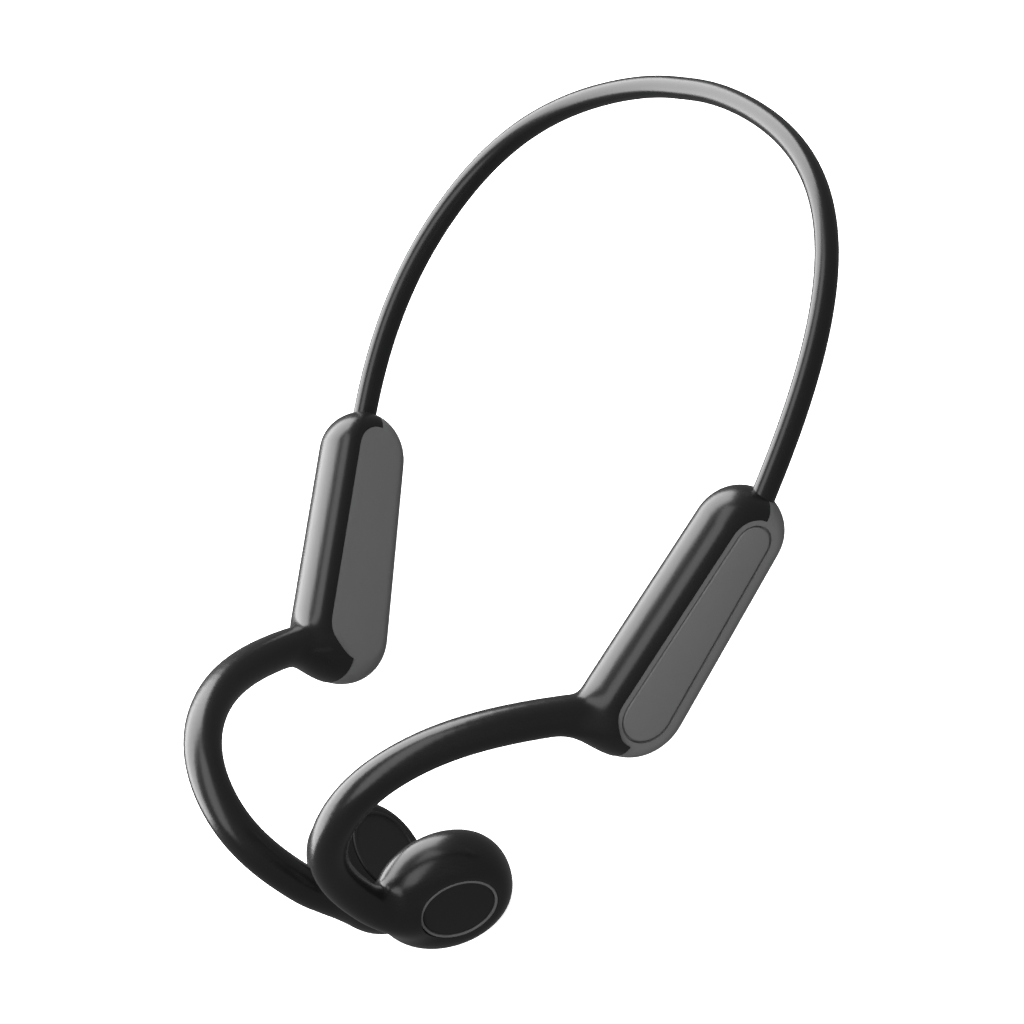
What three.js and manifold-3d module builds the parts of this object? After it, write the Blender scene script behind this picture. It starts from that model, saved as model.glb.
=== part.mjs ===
// Bone conduction headphones with a one-piece neckband, in millimetres.
// +X is the wearer's left, +Y the back of the head, +Z up; the origin is on the table under the middle.
import * as THREE from "three";
import { NURBSCurve } from "three/addons/curves/NURBSCurve.js";
import { mergeVertices } from "three/addons/utils/BufferGeometryUtils.js";
import Module from "manifold-3d";

const wasm = await Module();
wasm.setup();

// ---- Driving dimensions ----
const GAP = 0.3; // clearance between neighbouring pieces
const SLEEVE_SIDES = 12;
const BORE_SIDES = 8;
const WIRE_SIDES = 5;

// Neckband: control points of its left half, from the middle of the back to the pod.
const BAND_CONTROL = [
  [0, 78.7, 0],
  [11.6, 78.7, 0],
  [36.6, 72.0, 0.3],
  [56.1, 53.6, 0.3],
  [61.1, 27.4, 1.3],
  [58.1, 9.0, 0.1],
];
const BAND_HALF_HEIGHT = 2.3;
const BAND_HALF_WIDTH = 2.05;
const BAND_WALL = 0.65;
const BAND_STEPS = 46;
const MEMORY_WIRE_R = 0.5;
const CABLE_R = 0.5;
const BAND_CORE_OFFSET = 0.8; // the wire runs above the middle of the bore and the cable below it

// Pod: a tapered stadium, POD_LENGTH between its two end centres, thick across the wearer's head.
const POD_BACK = new THREE.Vector3(54.6, 0, 0); // centre of the end where the neckband enters
const POD_YAW = 0.329; // the pods close in towards the front by this angle, in radians
const POD_LENGTH = 35.0;
const POD_FRONT_R = 6.25; // flat face radius at the hook end
const POD_BACK_R = 4.85; // flat face radius at the neckband end
const POD_HALF = 5.15; // half thickness, out to each flat face
const RIM = 3.7; // how far the rounded rim stands out beyond the flat faces
const RIM_CREST_Z = -0.4; // the rim is widest a little towards the head
const RIM_LEVELS = 5;
const POD_ARC_STEPS = 9;
const SHELL_WALL = 1.5;
const FACE_WALL = 1.25;
const PANEL_INSET = 1.0;
const PANEL_GROOVE = 0.3;
const PANEL_DEPTH = 0.75;
const PANEL_EDGE = 0.2;

// Ear hook: control points from the pod's upper front corner over the ear to the driver.
const HOOK_CONTROL = [
  [41.4, -37.9, 8.5],
  [36.7, -45.4, 23.4],
  [29.3, -56.5, 34.9],
  [20.0, -68.7, 36.0],
  [12.3, -77.3, 29.2],
  [9.3, -80.8, 16.7],
  [10.0, -81.7, 6.0],
  [10.9, -77.9, 2.8],
];
const HOOK_R = 3.55;
const HOOK_BORE_R = 2.15;
const HOOK_STEPS = 26;
const HOOK_WIRE_R = 0.6;
const LEAD_R = 0.45;
const HOOK_WIRE_OFFSET = -0.75; // wire and lead lie side by side in the bore
const LEAD_OFFSET = 0.95;
const HOOK_SIDE = new THREE.Vector3(0.78, -0.62, 0).normalize(); // across the hook's own plane

// Driver module: a round bulb about an axis that points outwards and forwards.
const MODULE_CENTRE = new THREE.Vector3(12.3, -73.05, 0);
const MODULE_AXIS = new THREE.Vector3(0.798, -0.602, -0.033).normalize();
const MODULE_HALF = 5.3;
const BULB_R = 12.7;
const BULB_CREST = -0.8; // the bulb is widest a little towards the head
const BULB_LIFT = [-1.35, 0.4]; // how much fuller it is towards the back and towards the top
const CONTACT_R = 8.0; // mouth for the contact pad, on the head side
const CONTACT_LIP = 0.65;
const BUTTON_MOUTH_R = 7.3; // mouth for the button, on the outer side
const BUTTON_LIP = 0.5;
const HOLLOW_R = 9.0;
const PAD_PROUD = 0.3; // the contact pad stands this far out of its mouth
const PAD_BOSS_R = 5.6;
const DRIVER_R = 6.9;
const COIL_R = 5.5;
const COIL_WALL = 1.1;
const YOKE_TOP = -0.3;
const YOKE_BASE = 0.75;
const RING_WIDTH = 0.55;
const RING_HEIGHT = 1.6;
const TURN_STEPS = 24;
const INNER_TURN_STEPS = 16;
const BULB_LEVELS = 8;
const BUTTON_TRAVEL = 0.4;
const BUTTON_PLATE = 1.3;
const BUTTON_DEPTH = 2.4; // with its stem
const BUTTON_STEM_R = 1.4;
const SWITCH_R = 1.8;
const SWITCH_HEIGHT = 0.9;

// Keys, contacts and microphone, along the pod from its back centre towards the hook.
const KEY_LENGTH = 8.0;
const KEY_WIDTH = 2.6;
const KEY_PLACES = { volume_up_key: -6.5, volume_down_key: -17.5 };
const KEY_FLANGE = 0.8;
const KEY_SHOULDER = 0.65;
const KEY_RECESS = 0.15;
const CONTACT_PLACES = { charge_contact_front: -32.5, charge_contact_rear: -28.0 };
const CONTACT_PIN_R = 0.95;
const CONTACT_PIN_HEAD = 1.2;
const MIC_PLACE = -31.0;
const MIC_PORT_R = 0.5;
const MIC_SIZE = [3.2, 1.1, 2.4];

// Cell and boards, in the pod's own frame; blocks are width, height, thickness and then their centre.
const CELL = { length: 24, height: 5.8, thickness: 5.2, place: -15 };
const LEFT_BOARD = [13, 4, 0.6, -15, 0, 3.2];
const RIGHT_BOARD = [27, 4.4, 0.8, -16.5, 0.7, -2.9];
const RADIO_CAN = [8, 3.6, 1.2, -22.5, 0.7, -2.0];
const CHARGER_CHIP = [4, 3.2, 1.0, -9.5, 0.7, -2.1];

// ---- Materials ----
const softBlack = new THREE.MeshStandardMaterial({ color: 0x1f1f1f, roughness: 0.42 });
const darkGrey = new THREE.MeshStandardMaterial({ color: 0x676767, roughness: 0.6 });
const ringGrey = new THREE.MeshStandardMaterial({ color: 0x55585a, roughness: 0.35, metalness: 0.6 });
const padBlack = new THREE.MeshStandardMaterial({ color: 0x1a1a1b, roughness: 0.55 });
const titanium = new THREE.MeshStandardMaterial({ color: 0x8d8a86, roughness: 0.35, metalness: 1 });
const steel = new THREE.MeshStandardMaterial({ color: 0xa8abad, roughness: 0.3, metalness: 1 });
const copper = new THREE.MeshStandardMaterial({ color: 0xb87346, roughness: 0.35, metalness: 1 });
const gold = new THREE.MeshStandardMaterial({ color: 0xd8b45a, roughness: 0.25, metalness: 1 });
const circuitGreen = new THREE.MeshStandardMaterial({ color: 0x1d4a33, roughness: 0.5 });
const foilGrey = new THREE.MeshStandardMaterial({ color: 0xb9bcc0, roughness: 0.4, metalness: 0.4 });

// ---- Solids: three.js geometry to manifold and back ----
function solid(geometry) {
  const bare = new THREE.BufferGeometry();
  bare.setAttribute("position", geometry.getAttribute("position"));
  if (geometry.index) bare.setIndex(geometry.index);
  const merged = mergeVertices(bare, 1e-4);
  return new wasm.Manifold(
    new wasm.Mesh({
      numProp: 3,
      vertProperties: merged.getAttribute("position").array,
      triVerts: new Uint32Array(merged.index.array),
    }),
  );
}

function meshOf(name, body, material) {
  const { vertProperties, triVerts } = body.getMesh();
  const geometry = new THREE.BufferGeometry();
  geometry.setAttribute("position", new THREE.BufferAttribute(vertProperties, 3));
  geometry.setIndex(new THREE.BufferAttribute(triVerts, 1));
  const mesh = new THREE.Mesh(geometry, material);
  mesh.name = name;
  return mesh;
}

// A closed skin through rings of equally many points, with a flat fan over each end ring.
function loft(rings) {
  const count = rings[0].length;
  const points = rings.flat().flatMap((p) => [p.x, p.y, p.z]);
  const faces = [];
  for (let r = 0; r + 1 < rings.length; r++) {
    for (let i = 0; i < count; i++) {
      const next = (i + 1) % count;
      const low = r * count;
      const high = low + count;
      faces.push(low + i, low + next, high + next);
      faces.push(low + i, high + next, high + i);
    }
  }
  const top = (rings.length - 1) * count;
  for (let i = 1; i + 1 < count; i++) {
    faces.push(0, i + 1, i);
    faces.push(top, top + i, top + i + 1);
  }
  const geometry = new THREE.BufferGeometry();
  geometry.setAttribute("position", new THREE.Float32BufferAttribute(points, 3));
  geometry.setIndex(faces);
  return geometry;
}

// A tapered stadium outline, grown outwards by offset: an arc round each end centre.
function stadium(offset) {
  const lean = Math.acos((POD_BACK_R - POD_FRONT_R) / POD_LENGTH);
  const points = [];
  for (let i = 0; i <= POD_ARC_STEPS; i++) {
    const angle = -(Math.PI - lean) + (2 * (Math.PI - lean) * i) / POD_ARC_STEPS;
    const r = POD_BACK_R + offset;
    points.push(new THREE.Vector2(r * Math.cos(angle), r * Math.sin(angle)));
  }
  for (let i = 0; i <= POD_ARC_STEPS; i++) {
    const angle = Math.PI - lean + (2 * lean * i) / POD_ARC_STEPS;
    const r = POD_FRONT_R + offset;
    points.push(new THREE.Vector2(-POD_LENGTH + r * Math.cos(angle), r * Math.sin(angle)));
  }
  return points;
}

// A stack of stadium outlines, each level given as [z, offset].
function stadiumLoft(levels) {
  return loft(levels.map(([z, offset]) => stadium(offset).map((p) => new THREE.Vector3(p.x, p.y, z))));
}

function prism(offset, low, high) {
  return stadiumLoft([
    [low, offset],
    [high, offset],
  ]);
}

// The whole outer form of a pod, grown by a clearance: flat faces joined by a rounded rim.
function podForm(clearance) {
  const levels = [];
  for (let i = -RIM_LEVELS; i <= RIM_LEVELS; i++) {
    const turn = (i / RIM_LEVELS) * (Math.PI / 2);
    const reach = i < 0 ? POD_HALF + RIM_CREST_Z : POD_HALF - RIM_CREST_Z;
    levels.push([
      RIM_CREST_Z + (reach + clearance) * Math.sin(turn),
      (RIM + clearance) * Math.cos(turn),
    ]);
  }
  return stadiumLoft(levels);
}

function box(width, depth, height, x, y, z) {
  return new THREE.BoxGeometry(width, depth, height).translate(x, y, z);
}

// A bar with round ends, long in X, thick in Z, standing in Y.
function keyBar(length, width, low, high, x) {
  const half = (length - width) / 2;
  const outline = new THREE.Shape();
  outline.absarc(half, 0, width / 2, -Math.PI / 2, Math.PI / 2);
  outline.absarc(-half, 0, width / 2, Math.PI / 2, 1.5 * Math.PI);
  const bar = new THREE.ExtrudeGeometry(outline, {
    depth: high - low,
    bevelEnabled: false,
    curveSegments: 5,
  });
  return bar.rotateX(-Math.PI / 2).translate(x, low, RIM_CREST_Z);
}

function turned(profile, steps = TURN_STEPS) {
  const points = profile.map(([r, along]) => new THREE.Vector2(r, along));
  return new THREE.LatheGeometry(points, steps);
}

function disc(radius, low, high, steps = TURN_STEPS) {
  return turned(
    [
      [0, low],
      [radius, low],
      [radius, high],
      [0, high],
    ],
    steps,
  );
}

function ring(inner, outer, low, high, steps = TURN_STEPS) {
  return turned(
    [
      [inner, low],
      [outer, low],
      [outer, high],
      [inner, high],
      [inner, low],
    ],
    steps,
  );
}

// An ellipse as a polygon whose corners lie on it.
function ellipse(halfX, halfY, sides) {
  const corners = [];
  for (let i = 0; i < sides; i++) {
    const angle = (2 * Math.PI * i) / sides;
    corners.push(new THREE.Vector2(halfX * Math.cos(angle), halfY * Math.sin(angle)));
  }
  return new THREE.Shape(corners);
}

function tubeSection(halfX, halfY, wall) {
  const section = ellipse(halfX, halfY, SLEEVE_SIDES);
  section.holes.push(ellipse(halfX - wall, halfY - wall, BORE_SIDES));
  return section;
}

function sweep(section, path, steps) {
  return new THREE.ExtrudeGeometry(section, { steps, bevelEnabled: false, extrudePath: path });
}

function splineThrough(control) {
  const degree = 3;
  const points = control.map(([x, y, z]) => new THREE.Vector4(x, y, z, 1));
  const inner = points.length - degree;
  const knots = Array(degree).fill(0);
  for (let i = 0; i <= inner; i++) knots.push(i / inner);
  knots.push(...Array(degree).fill(1));
  return new NURBSCurve(degree, knots, points);
}

// ---- Paths ----
const mirrored = BAND_CONTROL.slice(1)
  .reverse()
  .map(([x, y, z]) => [-x, y, z]);
const bandLine = splineThrough([...mirrored, ...BAND_CONTROL]);
const hookLine = splineThrough(HOOK_CONTROL);

// A smooth path through a line's points, carried on straight for a while beyond each end.
function extended(line, samples, before, after) {
  const points = line.getPoints(samples);
  const start = line.getTangent(0).multiplyScalar(-before).add(points[0]);
  const end = line.getTangent(1).multiplyScalar(after).add(points[samples]);
  return new THREE.CatmullRomCurve3([start, ...points, end]);
}

function shifted(path, offset) {
  return new THREE.CatmullRomCurve3(path.getPoints(24).map((p) => p.add(offset)));
}

const BAND_ANCHOR = 7.5; // how far the neckband runs on into each pod
const HOOK_ANCHOR = 6.6; // how far the hook's wire runs on into the pod
const bandPath = extended(bandLine, 48, BAND_ANCHOR, BAND_ANCHOR);
const hookPath = extended(hookLine, 28, HOOK_ANCHOR, 0.2);

// ---- Frames of the pod and of the driver module, for the wearer's left ----
const podFrame = new THREE.Matrix4()
  .makeBasis(
    new THREE.Vector3(Math.sin(POD_YAW), Math.cos(POD_YAW), 0),
    new THREE.Vector3(0, 0, 1),
    new THREE.Vector3(Math.cos(POD_YAW), -Math.sin(POD_YAW), 0),
  )
  .setPosition(POD_BACK);
const moduleFrame = new THREE.Matrix4()
  .makeRotationFromQuaternion(
    new THREE.Quaternion().setFromUnitVectors(new THREE.Vector3(0, 1, 0), MODULE_AXIS),
  )
  .setPosition(MODULE_CENTRE);

const inPod = (geometry) => solid(geometry.applyMatrix4(podFrame));
const inModule = (geometry) => solid(geometry.applyMatrix4(moduleFrame));

// ---- Neckband ----
// What the neckband takes out of each pod where it enters.
function bandHole() {
  const section = ellipse(BAND_HALF_HEIGHT + GAP, BAND_HALF_WIDTH + GAP, SLEEVE_SIDES);
  return solid(sweep(section, bandPath, BAND_STEPS));
}

function neckband() {
  const section = tubeSection(BAND_HALF_HEIGHT, BAND_HALF_WIDTH, BAND_WALL);
  const core = (radius, height) => {
    const path = shifted(bandPath, new THREE.Vector3(0, 0, height));
    return solid(sweep(ellipse(radius, radius, WIRE_SIDES), path, BAND_STEPS - 8));
  };
  return [
    meshOf("neckband_sleeve", solid(sweep(section, bandPath, BAND_STEPS)), softBlack),
    meshOf("neckband_memory_wire", core(MEMORY_WIRE_R, BAND_CORE_OFFSET), titanium),
    meshOf("neckband_cable", core(CABLE_R, -BAND_CORE_OFFSET), copper),
  ];
}

// ---- Pod ----
// Underside pieces pass through the wall between the cavity floor and the rim.
const cavityFloor = (x) => {
  const along = -x / POD_LENGTH;
  return -(POD_BACK_R + (POD_FRONT_R - POD_BACK_R) * along - SHELL_WALL);
};
const rimBottom = (x) => cavityFloor(x) - SHELL_WALL - RIM;

function undersideHoles(isRight) {
  const holes = [];
  const deep = 3;
  if (isRight) {
    for (const x of Object.values(KEY_PLACES)) {
      const low = rimBottom(x) - deep;
      holes.push(keyBar(KEY_LENGTH + 2 * GAP, KEY_WIDTH + 2 * GAP, low, cavityFloor(x) + GAP, x));
    }
    for (const x of Object.values(CONTACT_PLACES)) {
      holes.push(pinAt(x, CONTACT_PIN_R + GAP, rimBottom(x) - deep, cavityFloor(x) + GAP));
    }
  } else {
    const x = MIC_PLACE;
    holes.push(pinAt(x, MIC_PORT_R, rimBottom(x) - deep, cavityFloor(x) + GAP));
  }
  return holes;
}

function pinAt(x, radius, low, high) {
  return disc(radius, low, high, 12).translate(x, 0, RIM_CREST_Z);
}

function podPieces(side) {
  const form = inPod(podForm(0));
  const reach = POD_HALF + 1;
  const far = 60;
  // The black spine is the rim above the pod's long axis; the grey shells are all the rest.
  const upper = inPod(box(2 * far, far, 2 * far, 0, far / 2 + GAP / 2, 0));
  const upperGrown = inPod(box(2 * far, far, 2 * far, 0, far / 2 - GAP / 2, 0));
  const core = inPod(prism(GAP / 2, -reach, reach));
  const coreShrunk = inPod(prism(-GAP / 2, -reach, reach));
  const cavity = inPod(prism(-SHELL_WALL, -(POD_HALF - FACE_WALL), POD_HALF - FACE_WALL));
  const bandEntry = bandHole();
  const hookEntry = hookBore();
  const spine = form.intersect(upper).subtract(core).subtract(bandEntry).subtract(hookEntry);
  let shells = form.subtract(upperGrown.subtract(coreShrunk)).subtract(cavity);
  shells = shells.subtract(bandEntry).subtract(hookEntry);
  for (const hole of undersideHoles(side === "right")) shells = shells.subtract(inPod(hole));
  const split = (sign) => box(2 * far, 2 * far, far, 0, 0, RIM_CREST_Z + sign * (far / 2 + GAP / 2));
  const pocket = prism(-PANEL_INSET, POD_HALF - PANEL_DEPTH, reach);
  const panel = stadiumLoft([
    [POD_HALF - PANEL_DEPTH + GAP, -PANEL_INSET - PANEL_GROOVE],
    [POD_HALF - PANEL_EDGE, -PANEL_INSET - PANEL_GROOVE],
    [POD_HALF, -PANEL_INSET - PANEL_GROOVE - PANEL_EDGE],
  ]);
  return [
    meshOf(`${side}_pod_spine`, spine, softBlack),
    meshOf(`${side}_outer_shell`, shells.intersect(inPod(split(1))).subtract(inPod(pocket)), darkGrey),
    meshOf(`${side}_inner_shell`, shells.intersect(inPod(split(-1))), darkGrey),
    meshOf(`${side}_touch_panel`, inPod(panel), darkGrey),
  ];
}

function battery() {
  const end = CELL.height / 2;
  const middle = CELL.length / 2 - end;
  const cell = new THREE.Shape();
  cell.absarc(middle, 0, end, -Math.PI / 2, Math.PI / 2);
  cell.absarc(-middle, 0, end, Math.PI / 2, 1.5 * Math.PI);
  const body = new THREE.ExtrudeGeometry(cell, {
    depth: CELL.thickness,
    bevelEnabled: false,
    curveSegments: 4,
  });
  return body.translate(CELL.place, 0, -CELL.thickness / 2);
}

function leftPodInside() {
  const micY = cavityFloor(MIC_PLACE) + GAP + MIC_SIZE[1] / 2;
  const microphone = box(...MIC_SIZE, MIC_PLACE, micY, RIM_CREST_Z);
  return [
    meshOf("left_battery", inPod(battery()), foilGrey),
    meshOf("left_protection_board", inPod(box(...LEFT_BOARD)), circuitGreen),
    meshOf("left_microphone", inPod(microphone), steel),
  ];
}

function rightPodInside() {
  const chips = [RADIO_CAN, CHARGER_CHIP].map((chip) => solid(box(...chip)));
  const circuit = chips.reduce((board, chip) => board.add(chip), solid(box(...RIGHT_BOARD)));
  const pieces = [meshOf("right_circuit_board", circuit.transform(podFrame.elements), circuitGreen)];
  for (const [name, x] of Object.entries(KEY_PLACES)) {
    const floor = cavityFloor(x) + 2 * GAP;
    const stem = keyBar(KEY_LENGTH, KEY_WIDTH, rimBottom(x) + KEY_RECESS, floor + 0.1, x);
    const flangeTop = floor + KEY_FLANGE;
    const flange = keyBar(KEY_LENGTH + 2 * KEY_SHOULDER, KEY_WIDTH + 2 * KEY_SHOULDER, floor, flangeTop, x);
    pieces.push(meshOf(name, inPod(stem).add(inPod(flange)), softBlack));
  }
  for (const [name, x] of Object.entries(CONTACT_PLACES)) {
    const head = cavityFloor(x) + CONTACT_PIN_HEAD;
    const pin = pinAt(x, CONTACT_PIN_R, rimBottom(x) + KEY_RECESS, head);
    pieces.push(meshOf(name, inPod(pin), gold));
  }
  return pieces;
}

// ---- Ear hook ----
function hookBore() {
  return solid(sweep(ellipse(HOOK_BORE_R, HOOK_BORE_R, BORE_SIDES), hookPath, HOOK_STEPS));
}

function hookPieces(side) {
  const section = tubeSection(HOOK_R, HOOK_R, HOOK_R - HOOK_BORE_R);
  const sleeve = solid(sweep(section, hookPath, HOOK_STEPS))
    .subtract(inPod(podForm(GAP)))
    .subtract(bulbForm(GAP));
  const core = (radius, offset) => {
    const path = shifted(hookPath, HOOK_SIDE.clone().multiplyScalar(offset));
    return solid(sweep(ellipse(radius, radius, WIRE_SIDES), path, HOOK_STEPS - 6));
  };
  return [
    meshOf(`${side}_ear_hook`, sleeve, softBlack),
    meshOf(`${side}_hook_wire`, core(HOOK_WIRE_R, HOOK_WIRE_OFFSET), titanium),
    meshOf(`${side}_driver_lead`, core(LEAD_R, LEAD_OFFSET), copper),
  ];
}

// ---- Driver module; heights run along its axis, positive outwards, away from the head ----
function bulbForm(clearance) {
  const back = new THREE.Vector3(0, 0, 1).cross(MODULE_AXIS).normalize();
  const top = MODULE_AXIS.clone().cross(back);
  const rings = [];
  for (let i = 0; i <= BULB_LEVELS; i++) {
    const turn = -Math.PI / 2 + (Math.PI * i) / BULB_LEVELS;
    const mouth = turn < 0 ? CONTACT_R + CONTACT_LIP : BUTTON_MOUTH_R + BUTTON_LIP;
    const reach = turn < 0 ? MODULE_HALF + BULB_CREST : MODULE_HALF - BULB_CREST;
    const height = BULB_CREST + (reach + clearance) * Math.sin(turn);
    const middle = MODULE_AXIS.clone().multiplyScalar(height).add(MODULE_CENTRE);
    const ringPoints = [];
    for (let j = 0; j < TURN_STEPS; j++) {
      const angle = (2 * Math.PI * j) / TURN_STEPS;
      const lift = BULB_LIFT[0] * Math.cos(angle) + BULB_LIFT[1] * Math.sin(angle);
      const radius = mouth + (BULB_R + lift - mouth + clearance) * Math.cos(turn);
      ringPoints.push(
        middle
          .clone()
          .addScaledVector(back, radius * Math.cos(angle))
          .addScaledVector(top, radius * Math.sin(angle)),
      );
    }
    rings.push(ringPoints);
  }
  return solid(loft(rings));
}

function driverPieces(side) {
  const half = MODULE_HALF;
  const inner = INNER_TURN_STEPS;
  const inside = turned([
    [0, -half - 1],
    [CONTACT_R, -half - 1],
    [CONTACT_R, -half + 1.9],
    [HOLLOW_R, -half + 3.2],
    [HOLLOW_R, half - 3.5],
    [BUTTON_MOUTH_R, half - 2.3],
    [BUTTON_MOUTH_R, half + 1],
    [0, half + 1],
  ]);
  const housing = bulbForm(0).subtract(inModule(inside)).subtract(hookBore());
  const padR = CONTACT_R - GAP;
  const padEdge = 0.5;
  const padBack = -half + 1.2;
  const bossTop = -half + 1.6;
  const pad = turned([
    [0, -half - PAD_PROUD],
    [padR - padEdge, -half - PAD_PROUD],
    [padR, -half - PAD_PROUD + padEdge],
    [padR, padBack],
    [PAD_BOSS_R, padBack],
    [PAD_BOSS_R, bossTop],
    [0, bossTop],
  ]);
  const seal = ring(PAD_BOSS_R + 0.5, CONTACT_R - 2 * GAP, padBack + GAP, padBack + 0.7, inner);
  const springLow = bossTop + GAP;
  const spring = ring(2.2, DRIVER_R + GAP, springLow, springLow + 0.3, inner);
  const coilLow = springLow + 0.6;
  const coilTop = YOKE_TOP - YOKE_BASE - GAP;
  const coil = ring(COIL_R - COIL_WALL, COIL_R, coilLow, coilTop, inner);
  const magnet = disc(COIL_R - COIL_WALL - GAP, coilLow, coilTop, inner);
  const yokeInner = COIL_R + 0.4;
  const yoke = turned(
    [
      [0, YOKE_TOP - YOKE_BASE],
      [yokeInner, YOKE_TOP - YOKE_BASE],
      [yokeInner, coilLow],
      [DRIVER_R, coilLow],
      [DRIVER_R, YOKE_TOP],
      [0, YOKE_TOP],
    ],
    inner,
  );
  const ringOuter = BUTTON_MOUTH_R - GAP;
  const buttonR = ringOuter - RING_WIDTH - GAP;
  const buttonTop = half - 0.1;
  const buttonEdge = 0.2;
  const button = turned([
    [0, half - BUTTON_DEPTH],
    [BUTTON_STEM_R, half - BUTTON_DEPTH],
    [BUTTON_STEM_R, half - BUTTON_PLATE],
    [buttonR, half - BUTTON_PLATE],
    [buttonR, buttonTop - buttonEdge],
    [buttonR - buttonEdge, buttonTop],
    [0, buttonTop],
  ]);
  const trim = ring(buttonR + GAP, ringOuter, half - RING_HEIGHT, half);
  return [
    meshOf(`${side}_driver_housing`, housing, softBlack),
    meshOf(`${side}_contact_pad`, inModule(pad), padBlack),
    meshOf(`${side}_pad_seal`, inModule(seal), softBlack),
    meshOf(`${side}_driver_spring`, inModule(spring), steel),
    meshOf(`${side}_voice_coil`, inModule(coil), copper),
    meshOf(`${side}_magnet`, inModule(magnet), steel),
    meshOf(`${side}_yoke`, inModule(yoke), steel),
    meshOf(`${side}_button_ring`, inModule(trim), ringGrey),
    meshOf(`${side}_${side === "left" ? "button" : "end_cap"}`, inModule(button), padBlack),
  ];
}

function buttonSwitch() {
  const top = MODULE_HALF - BUTTON_DEPTH - GAP - BUTTON_TRAVEL;
  return meshOf("left_button_switch", inModule(disc(SWITCH_R, top - SWITCH_HEIGHT, top, 12)), steel);
}

// ---- Assembly ----
function sidePieces(side) {
  const inside = side === "left" ? [...leftPodInside(), buttonSwitch()] : rightPodInside();
  return [...podPieces(side), ...inside, ...hookPieces(side), ...driverPieces(side)];
}

const headphones = new THREE.Group();
const leftSide = new THREE.Group();
const rightSide = new THREE.Group();
leftSide.add(...sidePieces("left"));
rightSide.add(...sidePieces("right"));
rightSide.scale.x = -1;
headphones.add(...neckband(), leftSide, rightSide);

// Stand it on the table: lowest point at zero, middle of its length over the origin.
const extent = new THREE.Box3().setFromObject(headphones);
headphones.position.set(0, -(extent.min.y + extent.max.y) / 2, -extent.min.z);

export default headphones;
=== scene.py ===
"""Bone conduction headphones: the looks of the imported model, for Blender 4.5.

Shapes are worked out in millimetres in the frame of the wearer's left side and
mirrored for the right; every mesh is made in metres.
"""
import math

import bpy
import numpy as np
import openvdb
from mathutils import Matrix, Vector


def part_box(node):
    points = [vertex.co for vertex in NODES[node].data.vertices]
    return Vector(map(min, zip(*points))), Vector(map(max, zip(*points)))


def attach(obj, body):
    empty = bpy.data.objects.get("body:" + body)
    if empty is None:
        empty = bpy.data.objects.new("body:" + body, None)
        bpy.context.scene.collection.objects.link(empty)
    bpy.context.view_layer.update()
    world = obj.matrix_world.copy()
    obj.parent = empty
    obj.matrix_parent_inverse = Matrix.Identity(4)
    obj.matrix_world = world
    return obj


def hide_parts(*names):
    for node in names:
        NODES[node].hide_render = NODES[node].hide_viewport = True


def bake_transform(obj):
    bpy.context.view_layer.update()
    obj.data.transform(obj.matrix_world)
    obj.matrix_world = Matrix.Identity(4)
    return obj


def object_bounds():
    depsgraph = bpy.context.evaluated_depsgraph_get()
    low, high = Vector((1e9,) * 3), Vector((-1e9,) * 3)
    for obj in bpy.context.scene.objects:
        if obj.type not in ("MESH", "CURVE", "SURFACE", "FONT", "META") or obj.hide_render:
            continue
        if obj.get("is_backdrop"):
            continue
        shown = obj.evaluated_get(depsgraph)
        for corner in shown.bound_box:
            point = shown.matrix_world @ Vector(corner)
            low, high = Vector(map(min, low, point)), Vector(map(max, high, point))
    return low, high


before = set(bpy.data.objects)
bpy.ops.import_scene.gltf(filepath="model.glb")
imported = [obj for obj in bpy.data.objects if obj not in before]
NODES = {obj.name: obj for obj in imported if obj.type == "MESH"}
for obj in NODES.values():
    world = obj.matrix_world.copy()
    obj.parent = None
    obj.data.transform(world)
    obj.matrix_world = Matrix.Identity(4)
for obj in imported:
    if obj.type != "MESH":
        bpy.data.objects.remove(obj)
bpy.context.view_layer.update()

MM = 0.001

# ---- Driving dimensions, in millimetres, as in the CAD model ----
BAND_CONTROL = [
    (0, 78.7, 0),
    (11.6, 78.7, 0),
    (36.6, 72.0, 0.3),
    (56.1, 53.6, 0.3),
    (61.1, 27.4, 1.3),
    (58.1, 9.0, 0.1),
]
BAND_HALF_HEIGHT = 2.3
BAND_HALF_WIDTH = 2.05
BAND_WALL = 0.65
BAND_ANCHOR = 7.5  # how far the band's line runs on into the pod
WIRE_R = 0.5
WIRE_OFFSET = 0.8

POD_BACK = np.array([54.6, 0.0, 0.0])
POD_YAW = 0.329
POD_LENGTH = 35.0
POD_FRONT_R = 6.25
POD_BACK_R = 4.85
POD_HALF = 5.15
RIM = 3.7
RIM_CREST_Z = -0.4
SHELL_WALL = 1.5
FACE_WALL = 1.25
PANEL_INSET = 1.0
PANEL_DEPTH = 0.75

HOOK_CONTROL = [
    (41.4, -37.9, 8.5),
    (36.7, -45.4, 23.4),
    (29.3, -56.5, 34.9),
    (20.0, -68.7, 36.0),
    (12.3, -77.3, 29.2),
    (9.3, -80.8, 16.7),
    (10.0, -81.7, 6.0),
    (10.9, -77.9, 2.8),
]
HOOK_R = 3.5  # 0.05 less than in the CAD model
HOOK_ROOT = 4.0  # how far the hook's line runs on into the pod

MODULE_CENTRE = np.array([12.3, -73.05, 0.0])
MODULE_AXIS = np.array([0.798, -0.602, -0.033])
MODULE_AXIS = MODULE_AXIS / np.linalg.norm(MODULE_AXIS)
MODULE_HALF = 5.3
BULB_R = 12.7
BULB_CREST = -0.8
BULB_LIFT = (-1.35, 0.4)  # how much fuller the bulb is towards the back and towards the top
CONTACT_R = 8.0
CONTACT_LIP = 0.65
BUTTON_MOUTH_R = 7.3
BUTTON_LIP = 0.5
PAD_PROUD = 0.3
MAGNET_MIDDLE = -2.075  # along the module's axis, from its centre

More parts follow.
